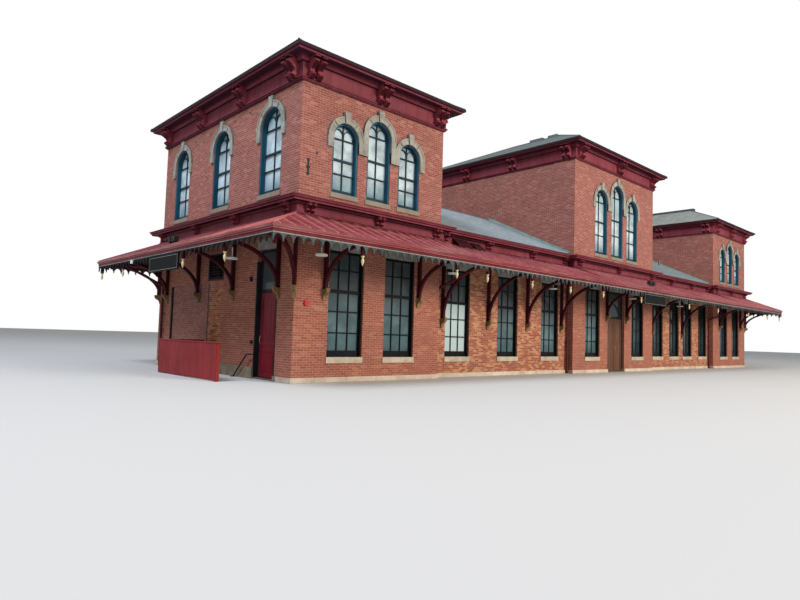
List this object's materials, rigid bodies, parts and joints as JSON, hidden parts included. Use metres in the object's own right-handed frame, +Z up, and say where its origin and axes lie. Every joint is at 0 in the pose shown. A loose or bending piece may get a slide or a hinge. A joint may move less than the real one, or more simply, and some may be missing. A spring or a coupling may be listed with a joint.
{
  "type": "railway station building",
  "caption": "Brick railway station with hipped corner and middle towers, lower links between them, a bracketed canopy all round and doors that open.",
  "frame": {"origin": "middle of the building's plan at ground level", "axes": "+X along the platform front towards the right end seen from the front, +Y from the front to the rear, +Z up"},
  "size_m": [39.19, 12.89, 12.11],
  "materials": {
    "brick": "matte brickwork",
    "stone": "dressed pale stone",
    "base_stone": "rough stone and concrete",
    "cornice_paint": "painted timber",
    "canopy_metal": "painted standing seam sheet",
    "valance_paint": "weathered paint",
    "bracket_paint": "painted timber",
    "corbel_stone": "carved stone",
    "pendant_paint": "painted turned timber",
    "shingles": "matte shingles",
    "link_shingles": "matte shingles",
    "upper_frame_paint": "painted timber",
    "lower_frame_paint": "painted timber",
    "window_glass": "clear glass",
    "door_frame_paint": "painted timber",
    "door_timber": "varnished timber",
    "end_door_paint": "painted timber",
    "ironmongery": "worn steel",
    "floor": "worn concrete",
    "upper_floor": "timber boards",
    "pipe_metal": "painted metal",
    "board_paint": "painted board",
    "screen_paint": "painted boards",
    "rail_metal": "painted steel tube",
    "lamp_body": "painted metal",
    "vent_metal": "weathered metal"
  },
  "bodies": {
    "building": {"plinth_sides": "base_stone", "plinth_ends": "base_stone", "ground_floor": "floor", "upper_floors": "upper_floor", "front_pavilion_walls": "brick", "front_link_walls": "brick", "rear_pavilion_walls": "brick", "rear_link_walls": "brick", "walls_over_doors": "brick", "left_wall": "brick", "right_wall": "brick", "tower_front_walls": "brick", "tower_rear_walls": "brick", "tower_end_walls": "brick", "tower_inner_walls": "brick", "lower_lintels": "stone", "window_sills": "stone", "hood_stones": "stone", "lower_window_frames": "lower_frame_paint", "lower_window_glass": "window_glass", "upper_window_frames": "upper_frame_paint", "upper_window_glass": "window_glass", "door_frames": "door_frame_paint", "transom_glass": "window_glass", "door_hinges": "ironmongery", "wall_louvre": "cornice_paint", "blind_door_posts": "door_frame_paint", "belt_cornice_sides": "cornice_paint", "belt_cornice_ends": "cornice_paint", "canopy_sides": "canopy_metal", "canopy_ends": "canopy_metal", "canopy_valances": "valance_paint", "canopy_brackets": "bracket_paint", "bracket_corbels": "corbel_stone", "bracket_pendants": "pendant_paint", "tower_friezes": "cornice_paint", "tower_cornices": "cornice_paint", "tower_roof_left_slopes": "shingles", "tower_roof_right_slopes": "shingles", "tower_roof_hips": "shingles", "link_roofs_front": "link_shingles", "link_roofs_rear": "link_shingles", "tower_scrolls": "cornice_paint", "belt_scrolls": "cornice_paint", "downspouts": "pipe_metal", "hanging_boards": "board_paint", "board_screen": "screen_paint", "entry_handrail": "rail_metal", "canopy_lamps": "lamp_body", "roof_vents": "vent_metal"},
    "front_left_leaf": {"front_door_left": "door_timber"},
    "front_right_leaf": {"front_door_right": "door_timber"},
    "end_leaf": {"end_door": "end_door_paint"}
  },
  "joints": [
    {"name": "front_left_hinge", "type": "hinge", "parent": "building", "child": "front_left_leaf", "pos_m": [-0.706, -4.475, 0.05], "axis": [0, 0, 1], "range_deg": [0, 90]},
    {"name": "front_right_hinge", "type": "hinge", "parent": "building", "child": "front_right_leaf", "pos_m": [0.706, -4.475, 0.05], "axis": [0, 0, -1], "range_deg": [0, 90]},
    {"name": "end_hinge", "type": "hinge", "parent": "building", "child": "end_leaf", "pos_m": [-17.625, -3.684, 0.05], "axis": [0, 0, -1], "range_deg": [0, 90]}
  ]
}
